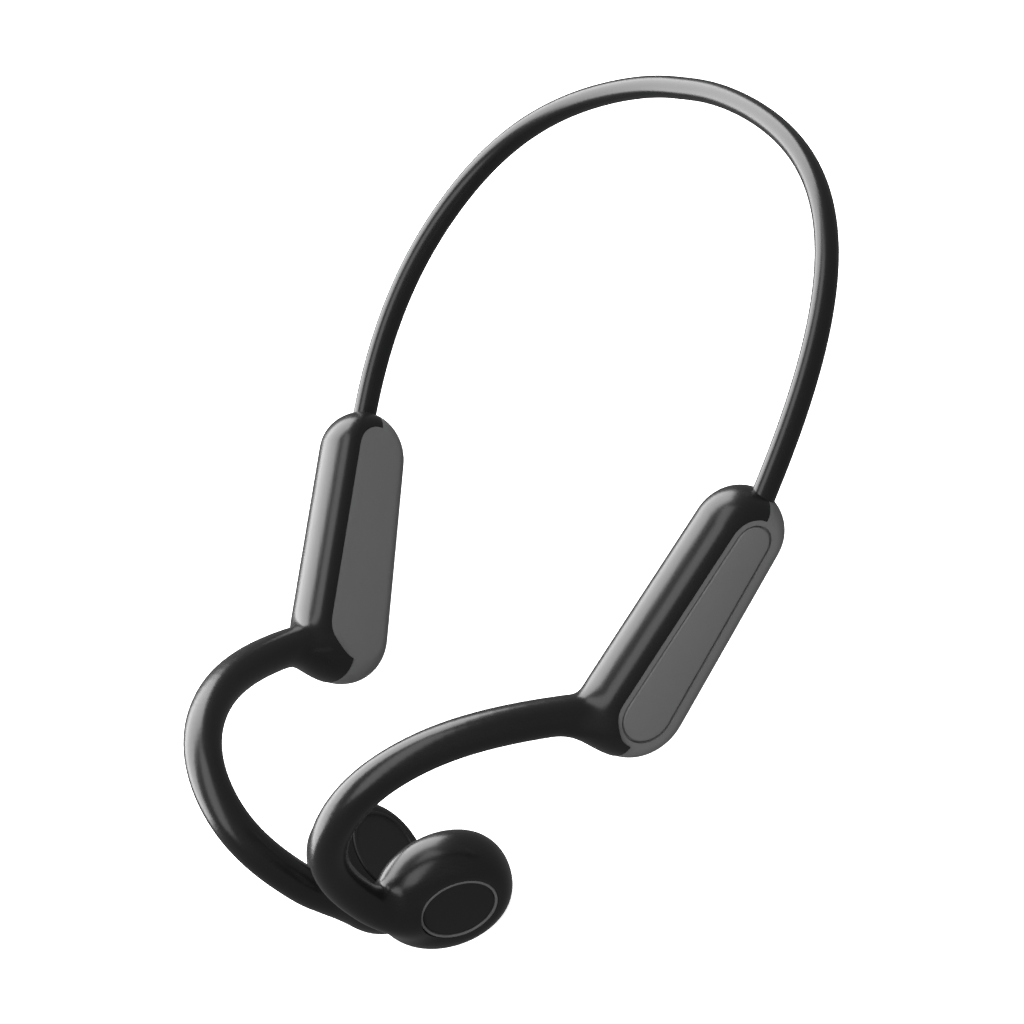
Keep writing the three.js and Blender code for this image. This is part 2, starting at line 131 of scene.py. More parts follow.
KEY_LENGTH = 8.0
KEY_WIDTH = 2.6
KEY_RECESS = 0.15
KEY_PLACES = {"volume_up": -6.5, "volume_down": -17.5}
PIN_R = 0.95
PIN_PLACES = {"front": -32.5, "rear": -28.0}
MIC_PLACE = -31.0
MIC_PORT_R = 0.5

# ---- Fine detail, in millimetres; some of it differs from the CAD model's plainer shapes ----
HAIRLINE = 0.05
SEAM = 0.08
FILLET_BEHIND = 2.4  # where the pod's top runs into the hook
FILLET_BEFORE = 7.0  # where the hook's front runs into the pod's nose
FILLET_CHANGE = (-2.0, 3.0)  # from one to the other between these places across the hook's root
BULB_FILLET = 3.0
PANEL_GROOVE = 0.35
PANEL_EDGE = 0.3
PROUD = 0.02  # how far the touch panel and the ring stand above their nominal faces
MOUTH_DEPTH = 2.1
PAD_DISH = 0.25
PAD_LIP = (0.6, 0.75)  # the pad's raised lip slopes down between these distances from its edge
PAD_DEPTH = 1.8
PAD_ROUND = 0.13
RING_WIDTH = 0.5
RING_DEPTH = 1.5
RING_ROUND = 0.12
CAP_SUNK = 0.1
CAP_DEPTH = 1.3
CAP_ROUND = 0.2
KEY_GAP = 0.3
KEY_EDGE = 0.35
PIN_GAP = 0.2
PIN_EDGE = 0.2
BAR_ROOT = 1.2  # how far keys and pins reach past the pod's cavity floor
HOLE_BELOW = 3.0  # how far a hole's helper runs on below the rim
HOLE_ABOVE = 0.4  # and past the cavity floor
NOSE_ROOM = 12.0  # the skin is cut for the covers as far as this past the centre of the pod's nose
HELPER_STEP = 3.0  # between the ends of two helpers, so that no two share a plane
ROUND_BAR = 0.001  # a round bar is this much longer than wide, which keeps its two ends apart
ROUND_HOLE = 0.0001  # the same for the pins' holes

# ---- Fineness of the meshes ----
VOXEL = 0.4
BLOCK = 8  # voxels along one side of a block
BLOCK_MARGIN = 1.6  # a block looks for the surface this many of its half diagonals away
SKIN_LOW = (0.0, -88.0, -14.0)
SKIN_HIGH = (63.0, 12.5, 42.0)
HOOK_NEAR = 14.0  # the hook's field is worked out this close to its line and is HOOK_FAR beyond
HOOK_FAR = 30.0
BAND_STEPS = 160
HOOK_STEPS = 64
ARC_STEPS = 40
RIM_LEVELS = 20
TURN_STEPS = 96
CORNER_STEPS = 4
PANEL_EDGE_STEPS = 5
BAR_STEPS = 12
BAND_SIDES = 40
WIRE_SIDES = 12
FAR = 40  # reach of the helper shapes that cut the covers and the skin
CREASE = 50  # degrees; the small pieces' edges sharper than this stay sharp
SKIN_CREASE = 35
TINY = 1e-9  # keeps divisions clear of zero, and the last point of a spline inside its last span

# The CAD model stands on the table, so its pieces are shifted from the frame of the numbers above.
magnet_low, magnet_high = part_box("left_magnet")
SHIFT = np.array((magnet_low + magnet_high) / 2) / MM - (MODULE_CENTRE + MAGNET_MIDDLE * MODULE_AXIS)


# ---- Paths ----
def spline(control, count):
    """count points, evenly spaced in the parameter, on the clamped cubic B-spline of the control points."""
    control = np.array(control, float)
    degree = 3
    spans = len(control) - degree
    knots = np.concatenate([np.zeros(degree), np.arange(spans + 1) / spans, np.ones(degree)])
    t = np.linspace(0, 1, count)
    t[-1] = 1 - TINY
    basis = [(knots[i] <= t) & (t < knots[i + 1]) for i in range(len(knots) - 1)]
    basis = np.array(basis, float)
    for d in range(1, degree + 1):
        rise = np.zeros((len(basis) - 1, count))
        for i in range(len(basis) - 1):
            left = knots[i + d] - knots[i]
            right = knots[i + d + 1] - knots[i + 1]
            if left > 0:
                rise[i] += (t - knots[i]) / left * basis[i]
            if right > 0:
                rise[i] += (knots[i + d + 1] - t) / right * basis[i + 1]
        basis = rise
    return basis.T @ control


def carried_on(points, before, after):
    """The points with a straight run added before the first and after the last."""
    start = points[0] - points[1]
    end = points[-1] - points[-2]
    runs = []
    if before:
        runs.append([points[0] + start / np.linalg.norm(start) * before])
    runs.append(points)
    if after:
        runs.append([points[-1] + end / np.linalg.norm(end) * after])
    return np.concatenate(runs)


def half_band_line():
    """The left half of the neckband's middle line, from the back of the head into the pod."""
    mirror = [(-x, y, z) for x, y, z in BAND_CONTROL[:0:-1]]
    whole = spline(mirror + BAND_CONTROL, 2 * BAND_STEPS + 1)
    return carried_on(whole[BAND_STEPS:], 0, BAND_ANCHOR)


HOOK_LINE = carried_on(spline(HOOK_CONTROL, HOOK_STEPS + 1), HOOK_ROOT, 0)

# ---- Frames ----
POD_BASIS = np.array(
    [
        [math.sin(POD_YAW), math.cos(POD_YAW), 0],
        [0, 0, 1],
        [math.cos(POD_YAW), -math.sin(POD_YAW), 0],
    ]
)


def hook_front():
    """Unit vector across the hook's root, towards the pod's nose."""
    root = np.array(HOOK_CONTROL[1]) - np.array(HOOK_CONTROL[0])
    root /= np.linalg.norm(root)
    front = -POD_BASIS[0] + (POD_BASIS[0] @ root) * root
    return front / np.linalg.norm(front)


HOOK_FRONT = hook_front()


def module_basis():
    """Rows: two directions across the module's axis, then the axis itself."""
    across = np.cross([0, 0, 1], MODULE_AXIS)
    across /= np.linalg.norm(across)
    return np.array([across, np.cross(MODULE_AXIS, across), MODULE_AXIS])


MODULE_BASIS = module_basis()


def from_pod(points):
    """Points given in the pod's frame (back along the pod, up, outwards), in the side's frame."""
    return np.asarray(points) @ POD_BASIS + POD_BACK


def from_module(points):
    """Points given in the driver module's frame (its axis last), in the side's frame."""
    return np.asarray(points) @ MODULE_BASIS + MODULE_CENTRE


# ---- Meshes ----
def make_mesh(name, points, faces, mirror=False):
    """A mesh object from points in the left side's frame; mirror puts it on the right."""
    world = np.array(points, float) + SHIFT
    if mirror:
        world = world * (-1, 1, 1)
        faces = [tuple(reversed(f)) for f in faces]
    mesh = bpy.data.meshes.new(name)
    mesh.from_pydata((world * MM).tolist(), [], [tuple(f) for f in faces])
    mesh.validate()
    obj = bpy.data.objects.new(name, mesh)
    bpy.context.scene.collection.objects.link(obj)
    return obj


def loft(rings, closed=False):
    """(points, faces) through rings of equally many points, capped at both ends or joined end to end."""
    rings = [np.asarray(r, float) for r in rings]
    count = len(rings[0])
    faces = []
    turns = len(rings) if closed else len(rings) - 1
    for r in range(turns):
        low = r * count
        high = ((r + 1) % len(rings)) * count
        for i in range(count):
            j = (i + 1) % count
            faces.append((low + i, low + j, high + j, high + i))
    if not closed:
        top = (len(rings) - 1) * count
        faces.append(tuple(range(count - 1, -1, -1)))
        faces.append(tuple(range(top, top + count)))
    return np.concatenate(rings), faces


def stadium(offset):
    """The pod's tapered stadium outline, grown outwards by offset."""
    lean = math.acos((POD_BACK_R - POD_FRONT_R) / POD_LENGTH)
    back = np.linspace(-(math.pi - lean), math.pi - lean, ARC_STEPS + 1)
    front = np.linspace(math.pi - lean, math.pi + lean, ARC_STEPS + 1)
    r_back, r_front = POD_BACK_R + offset, POD_FRONT_R + offset
    back_points = np.stack([r_back * np.cos(back), r_back * np.sin(back)], 1)
    front_points = np.stack([r_front * np.cos(front) - POD_LENGTH, r_front * np.sin(front)], 1)
    return np.concatenate([back_points, front_points])


def stadium_loft(levels):
    """(points, faces) through stadium outlines, one for each (height, offset)."""
    rings = []
    for z, offset in levels:
        outline = stadium(offset)
        rings.append(from_pod(np.column_stack([outline, np.full(len(outline), z)])))
    return loft(rings)


def pod_levels():
    """(height, offset) of the pod's rim, which is half an ellipse on each side of its crest."""
    levels = []
    for turn in np.linspace(-math.pi / 2, math.pi / 2, 2 * RIM_LEVELS + 1):
        reach = POD_HALF + RIM_CREST_Z if turn < 0 else POD_HALF - RIM_CREST_Z
        levels.append((RIM_CREST_Z + reach * math.sin(turn), RIM * math.cos(turn)))
    return levels


def pod_box(x0, x1, y0, y1, z0, z1):
    """(points, faces) of a box in the pod's frame."""
    corners = [(x, y, z) for z in (z0, z1) for x, y in ((x0, y0), (x1, y0), (x1, y1), (x0, y1))]
    faces = [(3, 2, 1, 0), (4, 5, 6, 7), (0, 1, 5, 4), (1, 2, 6, 5), (2, 3, 7, 6), (3, 0, 4, 7)]
    return from_pod(corners), faces


def lathe(profile):
    """(points, faces) of (radius, height) turned about the module's axis, with both ends on the axis."""
    steps = TURN_STEPS
    inner = profile[1:-1]
    angles = np.linspace(0, 2 * math.pi, steps, endpoint=False)
    points = [(0, 0, profile[0][1])]
    for r, h in inner:
        points.extend(np.stack([r * np.cos(angles), r * np.sin(angles), np.full(steps, h)], 1))
    points.append((0, 0, profile[-1][1]))
    last = len(points) - 1
    faces = []
    for i in range(steps):
        j = (i + 1) % steps
        faces.append((0, 1 + j, 1 + i))
        for k in range(len(inner) - 1):
            low, high = 1 + k * steps, 1 + (k + 1) * steps
            faces.append((low + i, low + j, high + j, high + i))
        top = 1 + (len(inner) - 1) * steps
        faces.append((top + i, top + j, last))
    return from_module(points), faces


def ring_lathe(profile):
    """The same for a closed profile that stays clear of the axis."""
    angles = np.linspace(0, 2 * math.pi, TURN_STEPS, endpoint=False)
    rings = []
    for a in angles:
        rings.append(from_module([(r * math.cos(a), r * math.sin(a), h) for r, h in profile]))
    return loft(rings, closed=True)


def rounded(profile, radius, corners):
    """A profile whose listed corners are rounded to the radius."""
    out = []
    for i, point in enumerate(profile):
        if i not in corners:
            out.append(point)
            continue
        here = np.array(point, float)
        before = np.array(profile[i - 1], float) - here
        after = np.array(profile[(i + 1) % len(profile)], float) - here
        start = here + before / np.linalg.norm(before) * radius
        end = here + after / np.linalg.norm(after) * radius
        for t in np.linspace(0, 1, CORNER_STEPS + 1):
            out.append(tuple((1 - t) ** 2 * start + 2 * t * (1 - t) * here + t * t * end))
    return out


def sweep(path, half_up, half_side, sides, height=0.0, bore=None):
    """(points, faces) of an elliptical section along a nearly level path, with or without a bore."""
    tangents = np.gradient(path, axis=0)
    tangents /= np.linalg.norm(tangents, axis=1)[:, None]
    across = np.cross(tangents, [0, 0, 1])
    across /= np.linalg.norm(across, axis=1)[:, None]
    up = np.cross(across, tangents)
    angles = np.linspace(0, 2 * math.pi, sides, endpoint=False)

    def rings(a, b):
        cos, sin = np.cos(angles)[None, :, None], np.sin(angles)[None, :, None]
        return path[:, None] + across[:, None] * cos * b + up[:, None] * (sin * a + height)

    outer = rings(half_up, half_side)
    if bore is None:
        return loft(list(outer[::-1]))
    inner = rings(*bore)
    count = len(path) * sides
    faces = []
    for r in range(len(path) - 1):
        for i in range(sides):
            j = (i + 1) % sides
            a, b, c, d = r * sides + i, r * sides + j, (r + 1) * sides + j, (r + 1) * sides + i
            faces.append((d, c, b, a))
            faces.append((count + a, count + b, count + c, count + d))
    end = (len(path) - 1) * sides
    for i in range(sides):
        j = (i + 1) % sides
        faces.append((i, j, count + j, count + i))
        faces.append((end + j, end + i, count + end + i, count + end + j))
    return np.concatenate([outer.reshape(-1, 3), inner.reshape(-1, 3)]), faces


def apply_booleans(obj, steps):
    """Cuts or joins the object with helper meshes, in order, and removes the helpers."""
    for operation, helper in steps:
        modifier = obj.modifiers.new(operation, "BOOLEAN")
        modifier.operation = operation
        modifier.solver = "EXACT"
        modifier.object = helper
    depsgraph = bpy.context.evaluated_depsgraph_get()
    depsgraph.update()
    result = bpy.data.meshes.new_from_object(obj.evaluated_get(depsgraph))
    obj.modifiers.clear()
    old = obj.data
    obj.data = result
    bpy.data.meshes.remove(old)
    for _, helper in steps:
        mesh = helper.data
        bpy.data.objects.remove(helper)
        bpy.data.meshes.remove(mesh)
    return obj


def smooth(obj, degrees=CREASE):
    """Smooth shading, with the edges sharper than the given angle left sharp."""
    mesh = obj.data
    mesh.polygons.foreach_set("use_smooth", [True] * len(mesh.polygons))
    mesh.set_sharp_from_angle(angle=math.radians(degrees))
    return obj


# ---- The soft black skin of one side, as a distance field ----
def blend_min(a, b, width):
    """The union of two fields, filleted over the given width."""
    mix = np.clip(0.5 + 0.5 * (b - a) / width, 0, 1)
    return b + (a - b) * mix - width * mix * (1 - mix)


def rim_field(beyond, height, rim, reach):
    """A flat-faced body whose edge bulges out as a half ellipse: rim wide, reach high."""
    out = np.maximum(beyond, 0)
    size = np.sqrt((out / rim) ** 2 + (height / reach) ** 2) + TINY
    slope = np.sqrt((out / rim**2) ** 2 + (height / reach**2) ** 2) / size + TINY
    return (size - 1) / slope


def pod_field(points):
    """The pod: a tapered stadium, flat on both faces."""
    local = (points - POD_BACK) @ POD_BASIS.T
    along, across = -local[:, 0], np.abs(local[:, 1])
    lean = (POD_BACK_R - POD_FRONT_R) / POD_LENGTH
    flat = math.sqrt(1 - lean * lean)
    where = -lean * across + flat * along
    side = flat * across + lean * along - POD_BACK_R
    back = np.hypot(along, across) - POD_BACK_R
    front = np.hypot(along - POD_LENGTH, across) - POD_FRONT_R
    beyond = np.where(where < 0, back, np.where(where > flat * POD_LENGTH, front, side))
    height = local[:, 2] - RIM_CREST_Z
    reach = np.where(height > 0, POD_HALF - RIM_CREST_Z, POD_HALF + RIM_CREST_Z)
    return rim_field(beyond, height, RIM, reach)


def hook_field(points):
    """The ear hook: a round tube along its line."""
    best = np.full(len(points), HOOK_FAR)
    for a, b in zip(HOOK_LINE[:-1], HOOK_LINE[1:]):
        near = np.all(np.abs(points - (a + b) / 2) < HOOK_NEAR, axis=1)
        p = points[near] - a
        d = b - a
        t = np.clip(p @ d / (d @ d), 0, 1)
        distance = np.linalg.norm(p - t[:, None] * d, axis=1) - HOOK_R
        best[near] = np.minimum(best[near], distance)
    return best


def bulb_field(points):
    """The driver module: a bulging rim round two flat mouths."""
    local = (points - MODULE_CENTRE) @ MODULE_BASIS.T
    radius = np.hypot(local[:, 0], local[:, 1]) + TINY
    height = local[:, 2] - BULB_CREST
    mouth = np.where(height > 0, BUTTON_MOUTH_R + BUTTON_LIP, CONTACT_R + CONTACT_LIP)
    reach = np.where(height > 0, MODULE_HALF - BULB_CREST, MODULE_HALF + BULB_CREST)
    lift = (local[:, 0] * BULB_LIFT[0] + local[:, 1] * BULB_LIFT[1]) / radius
    return rim_field(radius - mouth, height, BULB_R + lift - mouth, reach)


def skin_field(points):
    """Pod, hook and module in one, with a fillet at each joint between them."""
    low, high = FILLET_CHANGE
    place = (points - np.array(HOOK_CONTROL[0])) @ HOOK_FRONT
    share = np.clip((place - low) / (high - low), 0, 1)
    share = share * share * (3 - 2 * share)
    fillet = FILLET_BEHIND + (FILLET_BEFORE - FILLET_BEHIND) * share
    field = blend_min(pod_field(points), hook_field(points), fillet)
    return blend_min(field, bulb_field(points), BULB_FILLET)


def field_mesh(field, low, high, voxel):
    """(points, quads) of the zero surface, worked out only in the blocks that it crosses."""
    low = np.array(low, float)
    blocks = np.ceil((np.array(high) - low) / voxel / BLOCK).astype(int)
    centres = (np.indices(blocks).reshape(3, -1).T + 0.5) * BLOCK * voxel + low
    coarse = field(centres)
    values = coarse.reshape(blocks)
    for axis in range(3):
        values = np.repeat(values, BLOCK, axis)
    values = values.astype(np.float32)
    cell = np.indices((BLOCK,) * 3).reshape(3, -1).T
    reach = BLOCK * voxel * math.sqrt(3) / 2 * BLOCK_MARGIN
    for index in np.nonzero(np.abs(coarse) < reach)[0]:
        corner = np.array(np.unravel_index(index, blocks)) * BLOCK
        at = (corner + cell) * voxel + low
        x, y, z = corner
        values[x : x + BLOCK, y : y + BLOCK, z : z + BLOCK] = field(at).reshape((BLOCK,) * 3)
    outside = 10.0
    grid = openvdb.FloatGrid(outside)
    grid.copyFromArray(values)
    points, quads = grid.convertToQuads(0.0)
    points = points.astype(float) * voxel + low
    corrections = 2
    for _ in range(corrections):
        points -= newton_step(field, points)
    return points, quads


def newton_step(field, points):
    """How far each point is from the zero surface, along the field's slope."""
    value = field(points)
    step = 0.02
    least_steep = 0.05
    slope = np.zeros_like(points)
    for axis in range(3):
        offset = np.zeros(3)
        offset[axis] = step
        slope[:, axis] = (field(points + offset) - field(points - offset)) / (2 * step)
    steep = np.maximum((slope**2).sum(1), least_steep)
    return slope * (value / steep)[:, None]


# ---- Materials ----
MOTTLING_SCALE = 90
GLOSS_CHANGE = 0.03
GRAIN_DEPTH = 0.02  # millimetres


def new_material(name):
    """(material, its nodes, its links)."""
    material = bpy.data.materials.new(name)
    material.use_nodes = True
    return material, material.node_tree.nodes, material.node_tree.links


def moulded(name, colour, roughness, grain, bump, mottling=0.08):
    """Moulded plastic or rubber: fine spark-eroded grain, with slow changes in tone and gloss."""
    material, nodes, links = new_material(name)
    shader = nodes["Principled BSDF"]
    where = nodes.new("ShaderNodeTexCoord")
    fine = nodes.new("ShaderNodeTexNoise")
    fine.inputs["Scale"].default_value = grain
    fine.inputs["Detail"].default_value = 3
    slow = nodes.new("ShaderNodeTexNoise")
    slow.inputs["Scale"].default_value = MOTTLING_SCALE
    slow.inputs["Detail"].default_value = 4
    tone = nodes.new("ShaderNodeMapRange")
    tone.inputs["To Min"].default_value = 1 - mottling
    tone.inputs["To Max"].default_value = 1 + mottling
    tint = nodes.new("ShaderNodeVectorMath")
    tint.operation = "SCALE"
    tint.inputs[0].default_value = colour
    gloss = nodes.new("ShaderNodeMapRange")
    gloss.inputs["To Min"].default_value = roughness - GLOSS_CHANGE
    gloss.inputs["To Max"].default_value = roughness + GLOSS_CHANGE
    relief = nodes.new("ShaderNodeBump")
    relief.inputs["Strength"].default_value = bump
    relief.inputs["Distance"].default_value = GRAIN_DEPTH * MM
    links.new(where.outputs["Object"], fine.inputs["Vector"])
    links.new(where.outputs["Object"], slow.inputs["Vector"])
    links.new(slow.outputs["Fac"], tone.inputs["Value"])
    links.new(tone.outputs["Result"], tint.inputs["Scale"])
    links.new(tint.outputs["Vector"], shader.inputs["Base Color"])
    links.new(slow.outputs["Fac"], gloss.inputs["Value"])
    links.new(gloss.outputs["Result"], shader.inputs["Roughness"])
    links.new(fine.outputs["Fac"], relief.inputs["Height"])
    links.new(relief.outputs["Normal"], shader.inputs["Normal"])
    return material


def metal(name, colour, roughness, streak):
    """Drawn or plated metal, with fine streaks."""
    material, nodes, links = new_material(name)
    shader = nodes["Principled BSDF"]
    shader.inputs["Metallic"].default_value = 1
    where = nodes.new("ShaderNodeTexCoord")
    noise = nodes.new("ShaderNodeTexNoise")
    noise.inputs["Scale"].default_value = streak
    noise.inputs["Detail"].default_value = 5
    gloss = nodes.new("ShaderNodeMapRange")
    gloss.inputs["To Min"].default_value = roughness * 0.75
    gloss.inputs["To Max"].default_value = roughness * 1.25
    tone = nodes.new("ShaderNodeMapRange")
    tone.inputs["To Min"].default_value = 0.9
    tone.inputs["To Max"].default_value = 1.05
    tint = nodes.new("ShaderNodeVectorMath")
    tint.operation = "SCALE"
    tint.inputs[0].default_value = colour
    links.new(where.outputs["Object"], noise.inputs["Vector"])
    links.new(noise.outputs["Fac"], gloss.inputs["Value"])
    links.new(gloss.outputs["Result"], shader.inputs["Roughness"])
    links.new(noise.outputs["Fac"], tone.inputs["Value"])
    links.new(tone.outputs["Result"], tint.inputs["Scale"])
    links.new(tint.outputs["Vector"], shader.inputs["Base Color"])
    return material


def circuit():
    """Green solder mask with a paler grid of tracks in it."""
    material, nodes, links = new_material("circuit_board")
    shader = nodes["Principled BSDF"]
    shader.inputs["Roughness"].default_value = 0.35
    where = nodes.new("ShaderNodeTexCoord")
    tracks = nodes.new("ShaderNodeTexBrick")
    tracks.inputs["Scale"].default_value = 600
    tracks.inputs["Color1"].default_value = (0.015, 0.09, 0.045, 1)
    tracks.inputs["Color2"].default_value = (0.02, 0.12, 0.06, 1)
    tracks.inputs["Mortar"].default_value = (0.06, 0.2, 0.1, 1)
    links.new(where.outputs["Object"], tracks.inputs["Vector"])
    links.new(tracks.outputs["Color"], shader.inputs["Base Color"])
    return material


SOFT_BLACK = moulded("soft_black_skin", (0.0085, 0.0085, 0.0088), 0.26, 5200, 0.06)
SHELL_GREY = moulded("shell_grey_plastic", (0.165, 0.165, 0.167), 0.5, 4200, 0.25, 0.03)
PANEL_GREY = moulded("panel_grey_plastic", (0.165, 0.165, 0.167), 0.46, 4200, 0.22, 0.03)
PAD_BLACK = moulded("pad_black_silicone", (0.010, 0.010, 0.0105), 0.5, 4800, 0.2)
BUTTON_BLACK = moulded("button_black_plastic", (0.0085, 0.0085, 0.009), 0.5, 4800, 0.2)
KEY_BLACK = moulded("key_black_rubber", (0.010, 0.010, 0.010), 0.45, 4200, 0.2)
RING_GREY = moulded("ring_satin_grey", (0.13, 0.13, 0.132), 0.38, 4200, 0.1, 0.03)
TITANIUM = metal("titanium_wire", (0.50, 0.48, 0.45), 0.3, 2500)
STEEL = metal("driver_steel", (0.62, 0.62, 0.62), 0.25, 2200)
COPPER = metal("enamelled_copper", (0.62, 0.27, 0.12), 0.28, 4000)
GOLD = metal("contact_gold", (0.85, 0.60, 0.22), 0.2, 3000)
FOIL = metal("cell_foil", (0.62, 0.62, 0.64), 0.4, 900)
CIRCUIT = circuit()


def paint(obj, material):
    """The material on all of the object."""
    obj.data.materials.clear()
    obj.data.materials.append(material)
    return obj


def piece(obj, body, material, slot_name, *nodes):
    """A finished piece: its material, its body, and the CAD nodes that it stands for."""
    paint(obj, material)
    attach(obj, body)
    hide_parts(*nodes)
    return obj


# ---- Pod covers ----
def cavity_floor(x):
    """Height of the pod's cavity floor at x along it; y is up in the pod's frame."""
    return -(POD_BACK_R + (POD_FRONT_R - POD_BACK_R) * -x / POD_LENGTH - SHELL_WALL)


def rim_bottom(x):
    """Height of the rim's lowest line at x."""
    return cavity_floor(x) - SHELL_WALL - RIM


def round_edge(radius, steps):
    """(distance short of the end, distance in from the side) along a rounded edge, side first."""
    turns = np.linspace(0, math.pi / 2, steps + 1)
    return [(radius * (1 - math.sin(a)), radius * (1 - math.cos(a))) for a in turns]


def upright_bar(length, width, low, high, x, edge=0.0):
    """A bar with round ends standing in the pod's underside, its lower edge rounded by edge."""
    half = (length - width) / 2
    arc = np.linspace(-math.pi / 2, math.pi / 2, BAR_STEPS + 1)
    rings = []
    levels = [(high, 0.0)]
    if edge:
        levels += [(low + short, inset) for short, inset in round_edge(edge, CORNER_STEPS)]
    else:
        levels.append((low, 0.0))
    for y, inset in levels:
        r = width / 2 - inset
        right = np.stack([half + r * np.cos(arc), r * np.sin(arc)], 1)
        left = np.stack([-half - r * np.cos(arc), -r * np.sin(arc)], 1)
        outline = np.concatenate([right, left])
        rings.append([(x + u, y, RIM_CREST_Z - v) for u, v in outline])
    return loft([from_pod(r) for r in rings[::-1]])


def pod_covers(side):
    """The two grey covers, which part in the rim's middle, and the touch panel."""
    mirror = side == "right"
    body = f"{side}_side"
    # No two helpers share a plane, because an exact boolean can lose the piece where they do.
    start, end = -POD_LENGTH - FAR + HELPER_STEP, FAR - HELPER_STEP
    low_half = (start, end, -end, -HAIRLINE / 2, -FAR * 0.7, FAR * 0.6)
    core_levels = [(-FAR / 2, -HAIRLINE / 2), (FAR / 2, -HAIRLINE / 2)]
    hollow_levels = [(-POD_HALF + FACE_WALL, -SHELL_WALL), (POD_HALF - FACE_WALL, -SHELL_WALL)]
    pocket_levels = [(POD_HALF - PANEL_DEPTH, -PANEL_INSET), (FAR, -PANEL_INSET)]
    for part, sign in (("outer", 1), ("inner", -1)):
        cover = make_mesh(f"{side}_{part}_cover", *stadium_loft(pod_levels()), mirror)
        cut = RIM_CREST_Z + sign * HAIRLINE / 2
        keep_z = (cut, FAR) if sign > 0 else (-FAR, cut)
        half = make_mesh("half", *pod_box(-POD_LENGTH - FAR, FAR, -FAR, FAR, *keep_z), mirror)
        core = make_mesh("core", *stadium_loft(core_levels), mirror)
        lower = make_mesh("lower", *pod_box(*low_half), mirror)
        apply_booleans(core, [("UNION", lower)])
        hollow = make_mesh("hollow", *stadium_loft(hollow_levels), mirror)
        steps = [("INTERSECT", half), ("INTERSECT", core), ("DIFFERENCE", hollow)]
        if part == "outer":
            pocket = make_mesh("pocket", *stadium_loft(pocket_levels), mirror)
            steps.append(("DIFFERENCE", pocket))
        steps += [("DIFFERENCE", hole) for hole in underside_holes(side)]
        apply_booleans(cover, steps)
        piece(smooth(cover, SKIN_CREASE), body, SHELL_GREY, "shell_grey", f"{side}_{part}_shell")
    inset = -PANEL_INSET - PANEL_GROOVE
    levels = [(POD_HALF - PANEL_DEPTH + PROUD, inset)]
    for short, narrowing in round_edge(PANEL_EDGE, PANEL_EDGE_STEPS):
        levels.append((POD_HALF + PROUD - short, inset - narrowing))
    panel = make_mesh(f"{side}_panel_face", *stadium_loft(levels), mirror)
    piece(smooth(panel), body, PANEL_GREY, "panel_grey", f"{side}_touch_panel")


def underside_hole(name, length, width, x, mirror):
    """A helper that cuts a round-ended hole into the pod's cavity from below."""
    low = rim_bottom(x) - HOLE_BELOW
    high = cavity_floor(x) + HOLE_ABOVE
    return make_mesh(name, *upright_bar(length, width, low, high, x), mirror)


def underside_holes(side):
    """The right pod's holes for keys and pins, or the left pod's microphone port."""
    holes = []
    if side == "right":
        for x in KEY_PLACES.values():
            holes.append(underside_hole("key_hole", KEY_LENGTH + KEY_GAP, KEY_WIDTH + KEY_GAP, x, True))
        width = 2 * PIN_R + PIN_GAP
        for x in PIN_PLACES.values():
            holes.append(underside_hole("pin_hole", width + ROUND_HOLE, width, x, True))
    else:
        width = 2 * MIC_PORT_R
        holes.append(underside_hole("mic_hole", width + ROUND_BAR, width, MIC_PLACE, False))
    return holes


# ---- Skin ----
def build_skins():
    """One soft black skin for each side, with the covers' room and both mouths cut out of it."""
    points, quads = field_mesh(skin_field, SKIN_LOW, SKIN_HIGH, VOXEL)
    core_levels = [(-FAR, HAIRLINE / 2), (FAR, HAIRLINE / 2)]
    low_half = (-POD_LENGTH - NOSE_ROOM, FAR, -FAR, HAIRLINE / 2, -FAR, FAR)
    mouth = MODULE_HALF - MOUTH_DEPTH
    contact = [(0, -FAR), (CONTACT_R, -FAR), (CONTACT_R, -mouth), (0, -mouth)]
    button = [(0, mouth), (BUTTON_MOUTH_R, mouth), (BUTTON_MOUTH_R, FAR), (0, FAR)]
    for side in ("left", "right"):
        mirror = side == "right"
        skin = make_mesh(f"{side}_skin", points, quads, mirror)
        core = make_mesh("core", *stadium_loft(core_levels), mirror)
        lower = make_mesh("lower", *pod_box(*low_half), mirror)
        contact_cut = make_mesh("contact_cut", *lathe(contact), mirror)
        button_cut = make_mesh("button_cut", *lathe(button), mirror)
        cuts = [("DIFFERENCE", c) for c in (core, lower, contact_cut, button_cut)]
        apply_booleans(skin, cuts)
        nodes = [f"{side}_{n}" for n in ("pod_spine", "ear_hook", "driver_housing")]
        piece(smooth(skin, SKIN_CREASE), f"{side}_side", SOFT_BLACK, "soft_black", *nodes)


# ---- Driver faces ----
def contact_pad(side):
    """The disc that touches the cheekbone: a shallow dish inside a rounded lip."""
    edge = CONTACT_R - SEAM
    lip_top, lip_foot = PAD_LIP
    low = -MODULE_HALF - PAD_PROUD
    profile = [
        (0, low + PAD_DISH),
        (edge - lip_foot, low + PAD_DISH),
        (edge - lip_top, low),
        (edge, low),
        (edge, low + PAD_DEPTH),
        (0, low + PAD_DEPTH),
    ]
    shape = lathe(rounded(profile, PAD_ROUND, (1, 2, 3)))
    pad = make_mesh(f"{side}_pad_face", *shape, side == "right")
    piece(smooth(pad), f"{side}_side", PAD_BLACK, "pad_black", f"{side}_contact_pad")


